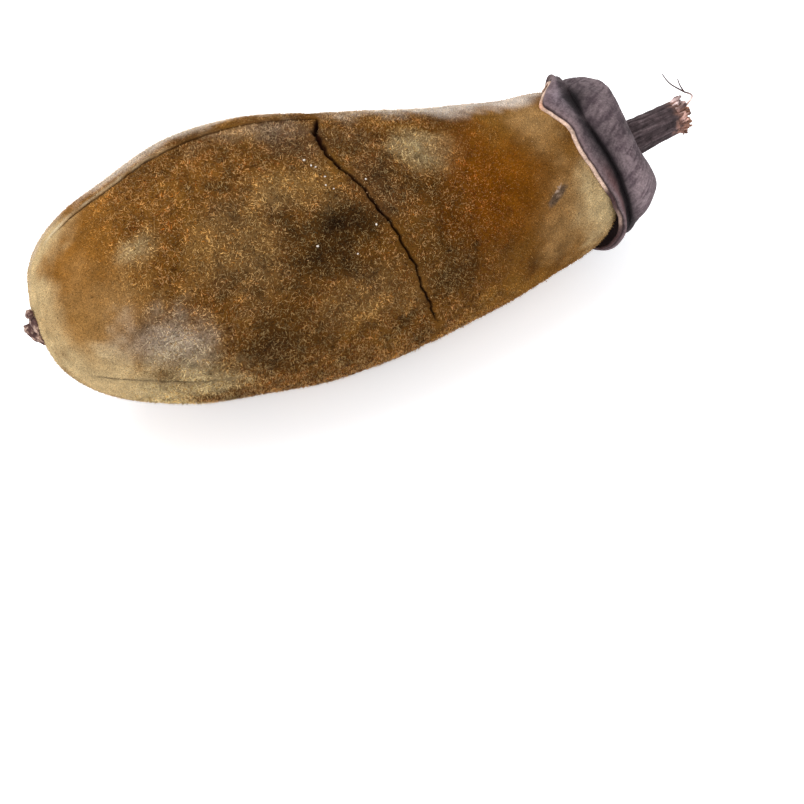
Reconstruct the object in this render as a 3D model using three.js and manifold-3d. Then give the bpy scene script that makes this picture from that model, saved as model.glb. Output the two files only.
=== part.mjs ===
// Baobab fruit pod lying on its side, in millimetres, +Z up.
// While it is modelled, the tip of the pod is at x = 0 and the stalk end points along +X.
// An angle round the pod is measured from straight up, positive towards -Y.
import * as THREE from 'three';
import { mergeVertices } from 'three/addons/utils/BufferGeometryUtils.js';
import Module from 'manifold-3d';

const wasm = await Module();
wasm.setup();

// Pod outline: distance from the tip and radius there
const podStations = [
  [0, 0], [0.3, 4.6], [1.2, 9.6], [3.8, 17.5], [10, 25], [20, 31.6], [34, 37.1], [50, 41.9],
  [66, 44.4], [84, 44.9], [102, 43.3], [120, 40.5], [138, 37.3], [156, 34], [172, 31],
  [184, 29.4], [189, 28.2], [193, 26.7], [197, 24.2], [201, 20.4], [204.4, 14.6], [206.5, 7.2], [207, 0],
];
const podRings = 56;
const podSides = 54;
const podLength = 207;

// Resting: the pod leans down towards its thinner end and stands on a small flat spot
const leanPerMm = -0.08;
const restX = 100;
const flatDepth = 0.5;

// The centre line bows a little, across the pod and upwards at once
const bowAcross = 0.766;
const bowUp = 0.643;
const shoulderHump = { x: 66, height: 2.4, width: 26 };
const waistSag = { x: 140, height: -1, width: 28 };
const neckRise = { from: 165, to: 205, height: 3 };
const stalkRise = { from: 203, to: 213, height: 3.5 };

// Low lengthwise ribs of the shell
const ribCount = 5;
const ribHeight = 0.35;
const ribTurn = -23;

// Cracks in the shell: points of distance from the tip and angle, with width and depth
const crack = {
  width: 1.7,
  depth: 4.5,
  jag: 0.35,
  path: [[104.7, -23], [100.7, -10], [99.2, 3], [101, 10], [103.3, 17], [106, 25], [108, 34],
    [111.7, 48], [114.4, 62], [116.5, 77], [119.2, 90], [122, 102]],
};
const upperSeam = {
  width: 0.9,
  depth: 2,
  jag: 0.2,
  path: [[14, -23], [30, -23], [46, -24], [55, -22.5], [71, -22], [88, -22.5], [100, -23]],
};
const lowerSeam = { width: 0.7, depth: 1.2, jag: 0.2, path: [[8, 103], [14, 98.5], [22, 96.5], [36, 99]] };

// Calyx: a leathery collar over the stalk end
const clearance = 0.35;
const calyxSides = 72;
const calyxSteps = 30;
const calyxEndX = 214;
const calyxWall = 1.7;
const buriedDepth = 3;
const neckFromX = 174;

// The calyx by angle: distance from the tip and radius of its rim, crease, roll and end shoulder
const calyxStations = [
  [-170, 190, 29.6, 197.5, 27.8, 204, 28.4, 210.5, 25],
  [-140, 187, 29.8, 196, 28, 203, 28.8, 209.5, 25.5],
  [-115, 191, 29.6, 197.5, 27.6, 203, 28.4, 208.5, 25.5],
  [-90, 194.5, 29.2, 198.5, 28.6, 203, 28.2, 208, 25],
  [-70, 195, 29.6, 198, 29.2, 202.5, 28.4, 208, 25.5],
  [-52, 194, 30.4, 197, 30.2, 201.5, 28.9, 208, 25.5],
  [-38, 192.5, 31.2, 196, 30.2, 201, 29, 208.3, 25.6],
  [-28, 189.6, 31.7, 195.2, 28.4, 200.5, 29.1, 208.4, 26],
  [-19, 184.6, 31, 194.6, 27.2, 200, 29.4, 208.3, 26],
  [-9, 181.2, 30.5, 193.8, 27, 199.8, 29.6, 208.2, 26],
  [2, 183, 30.2, 193.2, 27.2, 200, 29.6, 207.7, 26],
  [14, 185.5, 30, 192.4, 28, 200.3, 29.5, 207.2, 26],
  [28, 185.4, 30, 193.4, 27.6, 201, 29.5, 207, 26],
  [42, 186.9, 29.8, 195.2, 27.2, 202, 29.4, 207.5, 26],
  [56, 189.8, 29.2, 197, 26.8, 203.5, 29.3, 209, 26],
  [68, 192.6, 28.6, 198.2, 26.5, 205, 29.1, 211, 26],
  [82, 194.9, 28.2, 199.8, 26, 206.8, 28.6, 212.8, 26],
  [96, 197, 27.8, 201.2, 25.6, 206.6, 27.8, 212.4, 25],
  [110, 197.6, 28.4, 202.2, 26.2, 205.9, 26.6, 211.4, 22.8],
  [126, 195.5, 29.8, 201, 27, 205.5, 27, 211.5, 22],
  [150, 193, 29.4, 200, 26.2, 205.5, 26.8, 211.5, 23],
];

// Stalk: ridged, with a frayed broken end
const stalkRadius = 6;
const stalkTipRadius = 5.3;
const stalkStartX = podLength + clearance;
const stalkEndX = 238.5;
const stalkBend = 4;
const stalkSides = 36;
const stalkRings = 14;
const stalkRidges = 9;
const stalkRidgeHeight = 0.45;
const fibreCount = 22;
const fibreRadius = 0.55;
const fibreLengths = [3, 6];

// Dried style remnant at the tip: ellipsoid lumps with centre and half sizes
const stubLumps = [
  { centre: [-1.7, 0.4, -1.6], half: [2.6, 3.4, 2.9] },
  { centre: [-2.9, -0.6, -2.6], half: [2.1, 2.1, 1.7] },
  { centre: [-1.2, 0.8, 2.6], half: [1.6, 1.9, 1.9] },
];
const stubRoughness = 0.28;

const degrees = Math.PI / 180;
const smooth = (from, to, x) => THREE.MathUtils.smoothstep(x, from, to);
const bump = (distance, width) => Math.exp(-((distance / width) ** 2));

// Shortest way round between two angles in degrees
function turnBetween(a, b) {
  return ((((a - b + 180) % 360) + 360) % 360) - 180;
}

const podOutline = new THREE.SplineCurve(podStations.map(([x, r]) => new THREE.Vector2(x, r)));
const outlineSamples = podOutline.getPoints(2400);

function podRadius(x) {
  if (x <= 0 || x >= podLength) {
    return 0;
  }
  const after = outlineSamples.findIndex((point) => point.x > x);
  const a = outlineSamples[after - 1];
  const b = outlineSamples[after];
  return a.y + ((b.y - a.y) * (x - a.x)) / (b.x - a.x);
}

function bow(x) {
  const hump = shoulderHump.height * bump(x - shoulderHump.x, shoulderHump.width);
  const sag = waistSag.height * bump(x - waistSag.x, waistSag.width);
  const rise = neckRise.height * smooth(neckRise.from, neckRise.to, x);
  return hump + sag + rise;
}

function centreAt(x, extra = 0) {
  const offset = bow(x) + extra;
  return new THREE.Vector3(x, bowAcross * offset, bowUp * offset + leanPerMm * (x - restX));
}

function radial(angle) {
  return new THREE.Vector3(0, -Math.sin(angle * degrees), Math.cos(angle * degrees));
}

function ribAt(x, angle) {
  const fade = smooth(4, 40, x) * (1 - smooth(150, 185, x));
  return ribHeight * fade * Math.cos(ribCount * (angle - ribTurn) * degrees);
}

function podPoint(x, angle, radius) {
  return centreAt(x).addScaledVector(radial(angle), radius + ribAt(x, angle));
}

// Closes rings of points, first and last ring capped by a point, into one solid skin
function skinOf(rings, startPoint, endPoint) {
  const sides = rings[0].length;
  const points = rings.flat().concat([startPoint, endPoint]);
  const start = points.length - 2;
  const end = points.length - 1;
  const index = [];
  for (let ring = 0; ring < rings.length - 1; ring += 1) {
    for (let side = 0; side < sides; side += 1) {
      const next = (side + 1) % sides;
      const a = ring * sides + side;
      const b = ring * sides + next;
      index.push(a, b, a + sides, b, b + sides, a + sides);
    }
  }
  const last = (rings.length - 1) * sides;
  for (let side = 0; side < sides; side += 1) {
    const next = (side + 1) % sides;
    index.push(start, next, side);
    index.push(end, last + side, last + next);
  }
  return geometryOf(points, index);
}

// Closes rings whose last one joins the first again, as round a torus
function ringSkinOf(rings) {
  const steps = rings[0].length;
  const index = [];
  rings.forEach((ring, at) => {
    const nextRing = (at + 1) % rings.length;
    for (let step = 0; step < steps; step += 1) {
      const nextStep = (step + 1) % steps;
      const a = at * steps + step;
      const b = at * steps + nextStep;
      const c = nextRing * steps + step;
      const d = nextRing * steps + nextStep;
      index.push(a, c, b, b, c, d);
    }
  });
  return geometryOf(rings.flat(), index);
}

function geometryOf(points, index) {
  const geometry = new THREE.BufferGeometry();
  geometry.setAttribute('position', new THREE.Float32BufferAttribute(points.flatMap((p) => [p.x, p.y, p.z]), 3));
  geometry.setIndex(index);
  return geometry;
}

function solidOf(geometry) {
  const bare = geometry.clone();
  bare.deleteAttribute('normal');
  bare.deleteAttribute('uv');
  const merged = mergeVertices(bare, 1e-4);
  const vertProperties = new Float32Array(merged.attributes.position.array);
  const triVerts = new Uint32Array(merged.index.array);
  return new wasm.Manifold(new wasm.Mesh({ numProp: 3, vertProperties, triVerts }));
}

function geometryFrom(solid) {
  const mesh = solid.getMesh();
  const geometry = new THREE.BufferGeometry();
  const positions = new Float32Array(mesh.numVert * 3);
  for (let vertex = 0; vertex < mesh.numVert; vertex += 1) {
    for (let axis = 0; axis < 3; axis += 1) {
      positions[vertex * 3 + axis] = mesh.vertProperties[vertex * mesh.numProp + axis];
    }
  }
  geometry.setAttribute('position', new THREE.BufferAttribute(positions, 3));
  geometry.setIndex(new THREE.BufferAttribute(new Uint32Array(mesh.triVerts), 1));
  return geometry;
}

// Repeatable random numbers
function randomFrom(seed) {
  let state = seed;
  return () => {
    state = (state * 1664525 + 1013904223) % 4294967296;
    return state / 4294967296;
  };
}

// A thin wedge that follows a crack, pointed into the pod and tapered at both ends
function crackWedge({ width, depth, jag, path }, seed) {
  const random = randomFrom(seed);
  const curve = new THREE.SplineCurve(path.map(([x, angle]) => new THREE.Vector2(x, angle)));
  const steps = path.length * 5;
  const above = 1.2;
  const places = curve.getPoints(steps);
  const rings = [];
  places.forEach((place, step) => {
    const x = place.x + jag * (random() - 0.5) * 2;
    const angle = place.y + (jag * (random() - 0.5) * 2 * 1.4);
    const ahead = places[Math.min(step + 1, steps)];
    const behind = places[Math.max(step - 1, 0)];
    const out = radial(angle);
    const along = podPoint(ahead.x, ahead.y, podRadius(ahead.x))
      .sub(podPoint(behind.x, behind.y, podRadius(behind.x))).normalize();
    const side = new THREE.Vector3().crossVectors(out, along).normalize();
    const share = Math.sin((Math.PI * (step + 0.6)) / (steps + 1.2)) ** 0.4;
    const spread = 0.5 * width * share * (1 + above / depth);
    const base = podPoint(x, angle, podRadius(x));
    rings.push([
      base.clone().addScaledVector(out, above).addScaledVector(side, spread),
      base.clone().addScaledVector(out, above).addScaledVector(side, -spread),
      base.clone().addScaledVector(out, -depth * share),
    ]);
  });
  const middle = (ring) => ring[0].clone().add(ring[1]).add(ring[2]).divideScalar(3);
  const wedge = solidOf(skinOf(rings, middle(rings[0]), middle(rings.at(-1))));
  return wedge.volume() > 0 ? wedge : solidOf(skinOf(rings.reverse(), middle(rings[0]), middle(rings.at(-1))));
}

function makePod() {
  const rings = [];
  for (let ring = 1; ring < podRings; ring += 1) {
    const place = podOutline.getPoint(ring / podRings);
    rings.push(Array.from({ length: podSides }, (_, side) => {
      const angle = (360 * side) / podSides;
      return podPoint(place.x, angle, place.y);
    }));
  }
  const lowest = Math.min(...rings.flat().map((point) => point.z));
  const flatZ = lowest + flatDepth;
  rings.flat().forEach((point) => {
    point.z = Math.max(point.z, flatZ);
  });
  let solid = solidOf(skinOf(rings, centreAt(0), centreAt(podLength)));
  [[crack, 11], [upperSeam, 23], [lowerSeam, 37]].forEach(([line, seed]) => {
    solid = solid.subtract(crackWedge(line, seed));
  });
  return geometryFrom(solid);
}

// The calyx measures at any angle, smoothly between the stations on both sides of it
function calyxAt(angle) {
  const count = calyxStations.length;
  const station = (at) => {
    const [turn, ...measures] = calyxStations[(at + count) % count];
    return [turn + 360 * Math.floor(at / count), ...measures];
  };
  const after = calyxStations.findIndex(([turn]) => turn > angle);
  const at = (after < 0 ? count : after) - 1;
  const [before, a, b, next] = [at - 1, at, at + 1, at + 2].map(station);
  const w = (angle - a[0]) / (b[0] - a[0]);
  return a.slice(1).map((_, measure) => {
    const key = measure + 1;
    const goA = ((b[key] - before[key]) / (b[0] - before[0])) * (b[0] - a[0]);
    const goB = ((next[key] - a[key]) / (next[0] - a[0])) * (b[0] - a[0]);
    const bend = 3 * (b[key] - a[key]) - 2 * goA - goB;
    return a[key] + w * (goA + w * (bend + w * (2 * (a[key] - b[key]) + goA + goB)));
  });
}

// Once round the calyx at one angle: out from the rim, over the roll, in to the stalk, and back inside the pod
function calyxSection(angle) {
  const [rimX, rim, creaseX, crease, rollX, roll, shoulderX, shoulder] = calyxAt(angle);
  const overhang = THREE.MathUtils.clamp((roll - crease) / 2, 0, 1);
  const outside = [
    [rimX + 0.5, rim - calyxWall],
    [rimX - 0.4, rim - 0.3],
    [rimX + 1.8, rim + 0.75],
    [0.45 * rimX + 0.55 * creaseX, (rim + crease) / 2 + 1.4],
    [creaseX - 1.2, crease + 1.2],
    [creaseX + 0.5, crease],
    [creaseX + 0.9 - 0.5 * overhang, 0.2 * crease + 0.8 * roll - 0.3],
    [creaseX + 2.2 - 0.6 * overhang, roll - 0.15],
    [rollX, roll + 0.1],
    [(rollX + shoulderX) / 2 + 0.3, 0.55 * roll + 0.45 * shoulder + 0.6],
    [shoulderX, shoulder],
    [shoulderX + 1.3, shoulder - 3.6],
    [shoulderX + 2.1, shoulder - 8],
    [shoulderX + 2.2, shoulder - 13],
    [calyxEndX - 1.7, stalkRadius + 2.2],
    [calyxEndX - 3.4, stalkRadius - 2],
  ];
  const inside = [
    [podLength - 4, stalkRadius - 2],
    [creaseX + 1, podRadius(creaseX + 1) - buriedDepth],
  ];
  const curve = new THREE.SplineCurve(outside.map(([x, r]) => new THREE.Vector2(x, r)));
  return curve.getPoints(calyxSteps).concat(inside.map(([x, r]) => new THREE.Vector2(x, r)));
}

// The end of the pod and the foot of the stalk, each grown by the clearance, hollow out the calyx
function makeCalyx() {
  const rings = [];
  for (let side = 0; side < calyxSides; side += 1) {
    const angle = (360 * side) / calyxSides - 180;
    rings.push(calyxSection(angle).map(({ x, y }) => {
      const extra = stalkRise.height * smooth(stalkRise.from, stalkRise.to, x);
      return centreAt(x, extra).addScaledVector(radial(angle), y);
    }));
  }
  const grown = podLength + clearance;
  const neck = plainRings(neckFromX, grown, 22, centreAt, (x) => podRadius(x - clearance) + clearance);
  const foot = plainRings(podLength - 2, calyxEndX + 2, 4, stalkCentre, () => stalkRadius + stalkRidgeHeight + clearance);
  return geometryFrom(solidOf(ringSkinOf(rings)).subtract(neck).subtract(foot));
}

// A smooth solid of round rings between two places along the pod
function plainRings(fromX, toX, count, centre, radius) {
  const rings = [];
  for (let ring = 0; ring <= count; ring += 1) {
    const x = THREE.MathUtils.lerp(fromX, toX, Math.sin((Math.PI * ring) / (2 * count)));
    rings.push(Array.from({ length: podSides }, (_, side) => {
      const angle = (360 * side) / podSides;
      return centre(x).addScaledVector(radial(angle), Math.max(radius(x), 0.5));
    }));
  }
  return solidOf(skinOf(rings, centre(fromX - 0.1), centre(toX + 0.1)));
}

function stalkCentre(x) {
  const along = (x - stalkStartX) / (stalkEndX - stalkStartX);
  const extra = stalkRise.height * smooth(stalkRise.from, stalkRise.to, x) + stalkBend * smooth(0.1, 1.1, along);
  return centreAt(x, extra);
}

// A short tapered fibre with a slight curl
function fibreGeometry(root, direction, curl, length, radius) {
  const bendPoint = root.clone().addScaledVector(direction, length * 0.55);
  const tip = root.clone().addScaledVector(direction, length).addScaledVector(curl, length * 0.35);
  const curve = new THREE.QuadraticBezierCurve3(root, bendPoint, tip);
  const frames = curve.computeFrenetFrames(4, false);
  const rings = [];
  for (let step = 0; step <= 4; step += 1) {
    const centre = curve.getPoint(step / 4);
    const thick = radius * (1 - 0.55 * (step / 4));
    rings.push([0, 1, 2, 3].map((corner) => {
      const turn = (corner * Math.PI) / 2;
      return centre.clone()
        .addScaledVector(frames.normals[step], thick * Math.cos(turn))
        .addScaledVector(frames.binormals[step], thick * Math.sin(turn));
    }));
  }
  return skinOf(rings, root.clone().addScaledVector(direction, -0.1), tip.clone().addScaledVector(direction, 0.3));
}

function makeStalk() {
  const random = randomFrom(5);
  const rings = [];
  for (let ring = 0; ring <= stalkRings; ring += 1) {
    const along = ring / stalkRings;
    const straightX = THREE.MathUtils.lerp(stalkStartX, stalkEndX, along);
    const radius = THREE.MathUtils.lerp(stalkRadius, stalkTipRadius, smooth(0.2, 1, along));
    rings.push(Array.from({ length: stalkSides }, (_, side) => {
      const angle = (360 * side) / stalkSides;
      const ridge = stalkRidgeHeight * Math.cos((stalkRidges * angle + 25 * Math.sin(6 * along)) * degrees);
      const ragged = ring === stalkRings ? 2.6 * (random() - 0.35) : 0;
      return stalkCentre(straightX + ragged).addScaledVector(radial(angle), radius + ridge * smooth(0.05, 0.25, along));
    }));
  }
  let solid = solidOf(skinOf(rings, stalkCentre(stalkStartX), stalkCentre(stalkEndX - 2)));
  for (let fibre = 0; fibre < fibreCount; fibre += 1) {
    const angle = (360 * (fibre + 0.6 * random())) / fibreCount * 2.4;
    const out = stalkTipRadius * (0.35 + 0.5 * random());
    const length = THREE.MathUtils.lerp(fibreLengths[0], fibreLengths[1], random());
    const root = stalkCentre(stalkEndX - 3).addScaledVector(radial(angle), out);
    const direction = new THREE.Vector3(1, 0, 0.1).addScaledVector(radial(angle), 0.25 * random()).normalize();
    const curl = radial(angle + 80 * (random() - 0.5));
    solid = solid.add(solidOf(fibreGeometry(root, direction, curl, length + 2.5, fibreRadius)));
  }
  return geometryFrom(solid);
}

function makeStyleStub() {
  const lumps = stubLumps.map(({ centre, half }, lump) => {
    const geometry = new THREE.SphereGeometry(1, 14, 10);
    geometry.scale(...half);
    const position = geometry.attributes.position;
    for (let vertex = 0; vertex < position.count; vertex += 1) {
      const point = new THREE.Vector3().fromBufferAttribute(position, vertex);
      const rough = Math.sin(point.y * 2.7 + lump) * Math.sin(point.z * 3.1 - lump) * Math.cos(point.x * 2.3);
      point.addScaledVector(point.clone().normalize(), stubRoughness * rough);
      position.setXYZ(vertex, point.x, point.y, point.z);
    }
    geometry.translate(...centre);
    return solidOf(geometry);
  });
  let stub = lumps[0].add(lumps[1]).add(lumps[2]);
  const keepOff = new THREE.BoxGeometry(20, 40, 40);
  keepOff.translate(10 - clearance, 0, 0);
  stub = stub.subtract(solidOf(keepOff));
  const geometry = geometryFrom(stub);
  const tip = centreAt(0);
  geometry.translate(0, tip.y, tip.z);
  return geometry;
}

function namedMesh(name, geometry, finish) {
  geometry.computeVertexNormals();
  const mesh = new THREE.Mesh(geometry, new THREE.MeshStandardMaterial(finish));
  mesh.name = name;
  return mesh;
}

const fruit = new THREE.Group();
fruit.add(
  namedMesh('pod', makePod(), { color: 0x8a6227, roughness: 0.95, metalness: 0 }),
  namedMesh('calyx', makeCalyx(), { color: 0x4a3c3c, roughness: 0.85, metalness: 0 }),
  namedMesh('stalk', makeStalk(), { color: 0x3d3233, roughness: 0.85, metalness: 0 }),
  namedMesh('style_stub', makeStyleStub(), { color: 0x54423c, roughness: 0.9, metalness: 0 }),
);

// The origin is the middle of the footprint, on the surface that the pod rests on
const box = new THREE.Box3().setFromObject(fruit);
const middle = box.getCenter(new THREE.Vector3());
fruit.position.set(-middle.x, -middle.y, -box.min.z);

const group = new THREE.Group();
group.add(fruit);
group.updateMatrixWorld(true);

export default group;
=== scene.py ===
# Baobab fruit pod lying on its side.
# The pieces are worked out in millimetres in the pod's own frame: the tip of the shell is at x = 0, the stalk
# end points along +X, and an angle round the pod starts straight up and grows towards -Y.
import math

import bmesh
import bpy
import numpy as np
from mathutils import Matrix, Vector


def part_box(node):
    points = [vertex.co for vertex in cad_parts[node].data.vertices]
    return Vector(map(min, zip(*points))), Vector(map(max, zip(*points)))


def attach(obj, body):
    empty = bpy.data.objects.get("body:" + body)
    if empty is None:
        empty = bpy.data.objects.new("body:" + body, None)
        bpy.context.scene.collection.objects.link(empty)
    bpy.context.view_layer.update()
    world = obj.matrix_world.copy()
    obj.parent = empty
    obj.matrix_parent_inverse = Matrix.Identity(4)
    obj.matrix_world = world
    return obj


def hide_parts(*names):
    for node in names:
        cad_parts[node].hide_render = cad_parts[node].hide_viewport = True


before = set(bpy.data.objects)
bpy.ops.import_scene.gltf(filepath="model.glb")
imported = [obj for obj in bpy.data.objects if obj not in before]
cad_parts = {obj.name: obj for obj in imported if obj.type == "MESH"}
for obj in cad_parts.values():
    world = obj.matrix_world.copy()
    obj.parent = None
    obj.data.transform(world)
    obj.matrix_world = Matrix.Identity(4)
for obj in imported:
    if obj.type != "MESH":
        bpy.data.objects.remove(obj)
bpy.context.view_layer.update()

mm = 0.001

print("stage: outline of the pod")

podForm = {
    "stations": [  # distance from the tip, and radius there
        (0, 0), (0.3, 4.6), (1.2, 9.6), (3.8, 17.5), (10, 25), (20, 31.6), (34, 37.1), (50, 41.9),
        (66, 44.4), (84, 44.9), (102, 43.3), (120, 40.5), (138, 37.3), (156, 34), (172, 31), (184, 29.4),
        (189, 28.2), (193, 26.7), (197, 24.2), (201, 20.4), (204.4, 14.6), (206.5, 7.2), (207, 0),
    ],
    "length": 207,
    "lean": -0.08,  # the pod leans down towards its thinner end, mm per mm
    "restX": 100,  # the lean moves this place neither up nor down
    "flatDepth": 0.5,
    "bowAcross": 0.766,  # the bow goes 50 degrees off straight up, away from the cracked side
    "bowUp": 0.643,
    "hump": (66, 2.4, 26),  # place, height and width of the shoulder
    "sag": (140, -1, 28),
    "rise": (165, 205, 3),  # from, to and height
    "stalkRise": (203, 213, 3.5),
    "ribs": 5,
    "ribHeight": 0.35,
    "ribTurn": -23,
}


# A smooth line through the points; place 0 is the first of them, 1 the second, and so on
def splineAt(points, place):
    points = np.array(points, float)
    spans = len(points) - 1
    at = np.minimum(place.astype(int), spans - 1)
    w = (place - at)[:, None]
    before, a, b = points[np.maximum(at - 1, 0)], points[at], points[at + 1]
    after = points[np.minimum(at + 2, spans)]
    goA, goB = (b - before) / 2, (after - a) / 2
    return (2 * a - 2 * b + goA + goB) * w**3 + (3 * b - 3 * a - 2 * goA - goB) * w**2 + goA * w + a


def splineThrough(points, count):
    return splineAt(points, np.linspace(0, len(points) - 1, count + 1))


outline = splineThrough(podForm["stations"], 2400)


def smooth(start, end, x):
    t = np.clip((x - start) / (end - start), 0, 1)
    return t * t * (3 - 2 * t)


def bump(distance, width):
    return np.exp(-((distance / width) ** 2))


# 0 up to start, 1 from fullStart to fullEnd, and 0 again from end
def between(start, fullStart, fullEnd, end, x):
    return smooth(start, fullStart, x) * (1 - smooth(fullEnd, end, x))


def turnBetween(a, b):
    return (a - b + 180) % 360 - 180


def mix(colour, tint, share):
    return colour * (1 - share) + tint * share


def podRadius(x):
    return np.interp(x, outline[:, 0], outline[:, 1])


def bow(x):
    humpX, humpHeight, humpWidth = podForm["hump"]
    sagX, sagHeight, sagWidth = podForm["sag"]
    riseStart, riseEnd, riseHeight = podForm["rise"]
    return (
        humpHeight * bump(x - humpX, humpWidth)
        + sagHeight * bump(x - sagX, sagWidth)
        + riseHeight * smooth(riseStart, riseEnd, x)
    )


def centreAt(x, extra=0.0):
    offset = bow(x) + extra
    lift = podForm["bowUp"] * offset + podForm["lean"] * (x - podForm["restX"])
    return np.stack(np.broadcast_arrays(x, podForm["bowAcross"] * offset, lift), -1)


def radial(angle):
    turn = np.radians(angle)
    return np.stack(np.broadcast_arrays(0 * turn, -np.sin(turn), np.cos(turn)), -1)


def towardsStalk(x):
    start, end, height = podForm["stalkRise"]
    return height * smooth(start, end, x)


# Soft random field: smooth values from 0 to 1 that change over one cell of the given size
def softField(points, cell, seed):
    lattice = np.random.default_rng(seed).random((32, 32, 32))
    scaled = points / cell + 100.5
    base = np.floor(scaled).astype(int)
    part = scaled - base
    part = part * part * (3 - 2 * part)
    total = np.zeros(points.shape[:-1])
    for corner in range(8):
        step = np.array([corner & 1, corner >> 1 & 1, corner >> 2 & 1])
        weight = np.prod(np.where(step == 1, part, 1 - part), -1)
        cellAt = (base + step) % 32
        total += weight * lattice[cellAt[..., 0], cellAt[..., 1], cellAt[..., 2]]
    return total


# The same over two numbers, with cells of size 1
def softPlane(first, second, seed):
    return softField(np.stack(np.broadcast_arrays(first, second, 0.0), -1), 1.0, seed)


crackForm = {
    "angles": [-23, -10, 3, 10, 17, 25, 34, 48, 62, 77, 90, 102],
    "places": [104.7, 100.7, 99.2, 101, 103.3, 106, 108, 111.7, 114.4, 116.5, 119.2, 122],
    "halfWidths": [  # angle, and half width there
        (-24, 0), (-20, 0.6), (-10, 0.92), (0, 0.8), (8, 0.54), (20, 0.46), (30, 0.4), (40, 0.46),
        (52, 0.36), (66, 0.3), (90, 0.28), (103, 0),
    ],
    "middle": 40,
    "across": 0.93,  # the crack slants, so that it's nearer across it than along the pod
    "depth": 4.2,
    "jag": 0.3,
}
seamForm = {
    "places": [8, 14, 30, 46, 55, 71, 88, 104],
    "angles": [-22.5, -23, -23, -24, -22.5, -22, -22.5, -23],
    "halfWidths": [  # distance from the tip, and half width there
        (10, 0), (20, 0.34), (36, 0.46), (46, 0.5), (48, 0.8), (50, 0.52), (70, 0.42), (84, 0.3), (104, 0.4),
    ],
    "depth": 2.0,
}
lowerSeamForm = {
    "places": [6, 14, 22, 40, 60],
    "angles": [103, 98.5, 96.5, 99, 100],
    "halfWidths": [(7, 0), (14, 0.24), (30, 0.24), (44, 0.16), (56, 0)],
    "depth": 0.6,
}


# The same angle from -140 to 220, without a break along the crack
def unbroken(angle):
    return turnBetween(angle, crackForm["middle"]) + crackForm["middle"]


def crackX(angle):
    wobble = np.sin(0.31 * angle + 1) + 0.8 * np.sin(0.83 * angle) + 0.45 * np.sin(2.1 * angle + 2)
    return np.interp(angle, crackForm["angles"], crackForm["places"], period=360) + crackForm["jag"] * wobble


def seamAngleAt(form, x):
    return np.interp(x, form["places"], form["angles"]) + 0.25 * np.sin(0.9 * x) + 0.15 * np.sin(2.3 * x)


def halfWidthAt(form, place):
    return np.interp(place, *zip(*form["halfWidths"]), left=0, right=0)


# Distance in mm from the crack's middle line, and its half width there
def fromCrack(x, angle):
    turn = unbroken(angle)
    ragged = 1 + 0.36 * np.sin(1.7 * turn) * np.sin(0.41 * turn + 1) + 0.2 * np.sin(3.1 * turn + 2)
    return (x - crackX(turn)) * crackForm["across"], halfWidthAt(crackForm, turn) * ragged


def fromSeam(form, x, angle):
    return np.radians(turnBetween(angle, seamAngleAt(form, x))) * podRadius(x), halfWidthAt(form, x)


# The same two measures for the crack and both seams
def fromLines(x, angle):
    return [fromCrack(x, angle)] + [fromSeam(form, x, angle) for form in (seamForm, lowerSeamForm)]


def grooveDepth(x, angle):
    depth = np.zeros(np.broadcast(x, angle).shape)
    for form, (distance, half) in zip((crackForm, seamForm, lowerSeamForm), fromLines(x, angle)):
        inside = np.clip(1 - np.abs(distance) / np.maximum(half, 0.01), 0, 1) * (half > 0)
        shoulder = 0.35 * bump(distance, 1.3) * smooth(0, 0.3, half)
        depth = np.maximum(depth, form["depth"] * inside * smooth(0, 0.45, half) + shoulder)
    return depth


scarForm = {"x": 172.4, "angle": 52, "length": 5.2, "width": 1.7, "slant": 0.5}


# 1 in the middle of the scar, 0 at its edge and below 0 outside
def scarAt(x, angle):
    along = x - scarForm["x"]
    around = np.radians(turnBetween(angle, scarForm["angle"])) * podRadius(scarForm["x"])
    slant = scarForm["slant"]
    u = (along * math.cos(slant) - around * math.sin(slant)) / scarForm["length"]
    v = (along * math.sin(slant) + around * math.cos(slant)) / scarForm["width"]
    return 1 - np.sqrt(u * u + v * v)


# A place on the shell, with its ribs, dents, scar and grooves, or as far above it as grow says
def podPoint(x, angle, radius, grow=0.0):
    fade = between(4, 40, 150, 185, x)
    rib = podForm["ribHeight"] * fade * np.cos(podForm["ribs"] * np.radians(angle - podForm["ribTurn"]))
    turn = np.radians(angle)
    dents = 0.22 * np.sin(x / 13 + 1.3) * np.cos(2 * turn + 0.7)
    dents = dents + 0.16 * np.sin(x / 6.1 + 2.2 * np.sin(turn + 0.4))
    scar = scarAt(x, angle)
    mark = 0.35 * bump(scar - 0.05, 0.22) - 0.3 * smooth(0.1, 0.6, scar)
    out = radius + rib + dents * fade + mark - grooveDepth(x, angle) + grow
    return centreAt(x) + radial(angle) * out[..., None]


plain = podPoint(outline[:, 0][:, None], np.arange(0, 360, 1.0)[None, :], outline[:, 1][:, None])
flatZ = plain[..., 2].min() + podForm["flatDepth"]
podLow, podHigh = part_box("pod")
toFrame = np.array(
    Vector((podLow.x, (podLow.y + podHigh.y) / 2, podLow.z)) / mm
    - Vector((0, (plain[..., 1].min() + plain[..., 1].max()) / 2, flatZ))
)

print("stage: camera, floor and light")

cameraSet = {
    "turn": -25.14,  # degrees round the pod
    "rise": 50,  # degrees above the floor
    "lens": 100,
    "sensor": 36,
    "distance": 749.5,
    "aim": (108.67, -39.91),  # the place on the floor in the middle of the picture, in the pod's frame
}


def addObject(name, data):
    made = bpy.data.objects.new(name, data)
    bpy.context.scene.collection.objects.link(made)
    return made


# Puts a camera or a lamp in its place, with its back to the given direction
def aimFrom(thing, location, back):
    thing.location = location
    thing.rotation_mode = "QUATERNION"
    thing.rotation_quaternion = (-back).to_track_quat("-Z", "Y")


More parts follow.
